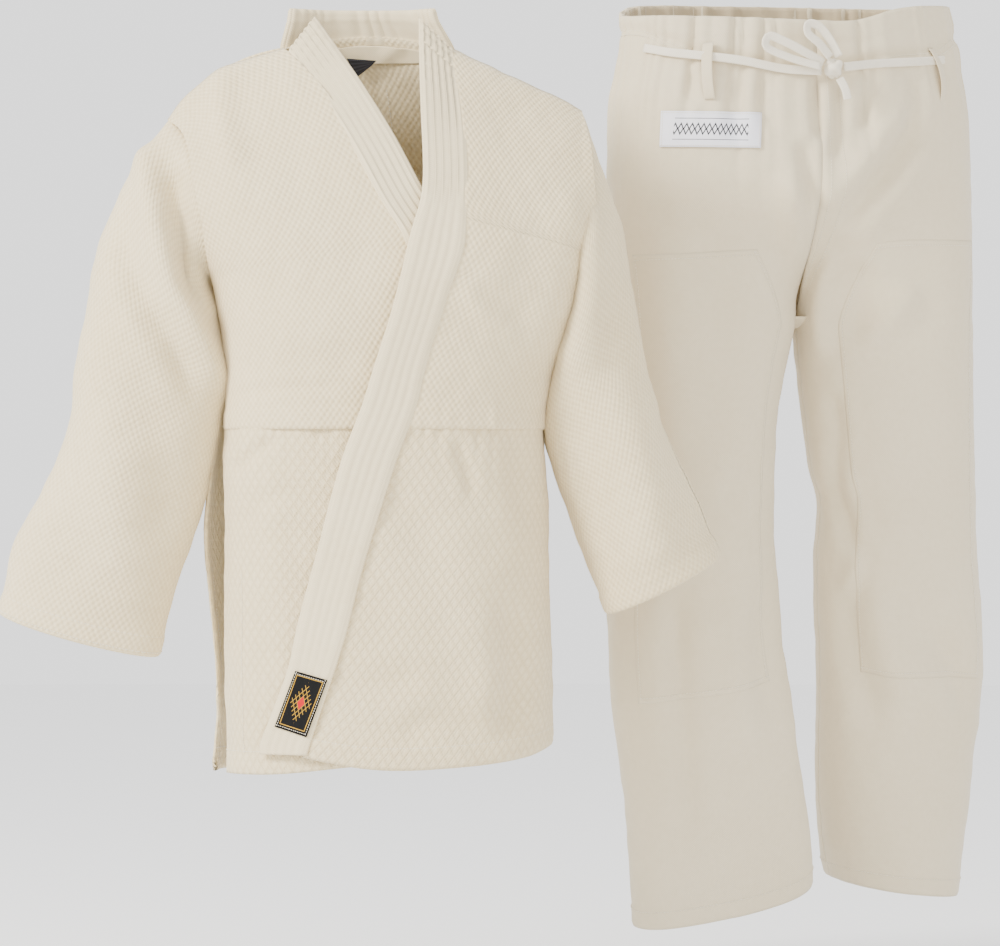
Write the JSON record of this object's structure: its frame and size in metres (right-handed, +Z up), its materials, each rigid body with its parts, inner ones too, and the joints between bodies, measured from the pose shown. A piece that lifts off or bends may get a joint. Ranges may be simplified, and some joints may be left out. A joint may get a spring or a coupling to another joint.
{
  "type": "martial arts uniform",
  "caption": "Cream wrap-over judo jacket with a stitched band, skirt and wide sleeves, beside drawcord trousers with knee patches.",
  "frame": {"origin": "middle of the neck opening, level with the top of the collar, where the shoulders or a hanger hold the jacket up", "axes": "+Z up, the front of both garments faces -Y, +X towards the wearer's left"},
  "size_m": [1.0643, 0.5604, 1.0299],
  "materials": {
    "jacket_cloth": "thick cotton in a rice-grain weave",
    "skirt_cloth": "thick cotton in a diamond weave",
    "band_cloth": "smooth cotton twill, quilted with rows of stitching",
    "trousers_cloth": "light cotton drill",
    "tape": "woven cotton cord",
    "black_label": "woven satin label",
    "white_label": "woven label"
  },
  "bodies": {
    "jacket": {"right_front_body": "jacket_cloth", "left_front_body": "jacket_cloth", "right_front_skirt": "skirt_cloth", "left_front_skirt": "skirt_cloth", "back_body": "jacket_cloth", "back_skirt": "skirt_cloth", "collar_right": "band_cloth", "collar_left_upper": "band_cloth", "collar_back": "band_cloth", "neck_label": "black_label", "back_yoke": "band_cloth"},
    "right_sleeve": {"right_sleeve": "jacket_cloth"},
    "left_sleeve": {"left_sleeve": "jacket_cloth"},
    "front_flap": {"left_flap_body": "jacket_cloth", "left_flap_skirt": "skirt_cloth", "collar_left_lower": "band_cloth", "lapel_badge": "black_label"},
    "trousers": {"right_hip": "trousers_cloth", "left_hip": "trousers_cloth", "waist_casing": "trousers_cloth", "crotch_gusset": "trousers_cloth", "drawcord_right": "tape", "drawcord_left": "tape", "bow_loop_right": "tape", "bow_loop_left": "tape", "drawcord_tail": "tape", "drawcord_knot": "tape", "right_belt_loop": "trousers_cloth", "left_belt_loop": "trousers_cloth", "woven_label": "white_label"},
    "right_leg": {"right_leg": "trousers_cloth", "right_knee_patch": "trousers_cloth"},
    "left_leg": {"left_leg": "trousers_cloth", "left_knee_patch": "trousers_cloth"}
  },
  "joints": [
    {"name": "right_sleeve_raise", "type": "hinge", "parent": "jacket", "child": "right_sleeve", "pos_m": [-0.2278, 0, -0.1202], "axis": [0, 1, 0], "range_deg": [0, 45]},
    {"name": "left_sleeve_raise", "type": "hinge", "parent": "jacket", "child": "left_sleeve", "pos_m": [0.2261, 0, -0.1112], "axis": [0, -1, 0], "range_deg": [0, 45]},
    {"name": "front_flap_open", "type": "hinge", "parent": "jacket", "child": "front_flap", "pos_m": [0.1125, -0.1037, -0.5643], "axis": [-0.1029, -0.0367, 0.994], "range_deg": [0, 110]},
    {"name": "trousers_apart", "type": "slide", "parent": "jacket", "child": "trousers", "axis": [1, 0, 0], "range_m": [0, 0.4]},
    {"name": "right_leg_swing", "type": "hinge", "parent": "trousers", "child": "right_leg", "pos_m": [0.3548, 0.2032, -0.342], "axis": [0.9613, 0.2756, 0], "range_deg": [-12, 32]},
    {"name": "left_leg_swing", "type": "hinge", "parent": "trousers", "child": "left_leg", "pos_m": [0.5727, 0.2919, -0.342], "axis": [0.9613, 0.2756, 0], "range_deg": [-24, 35]}
  ]
}
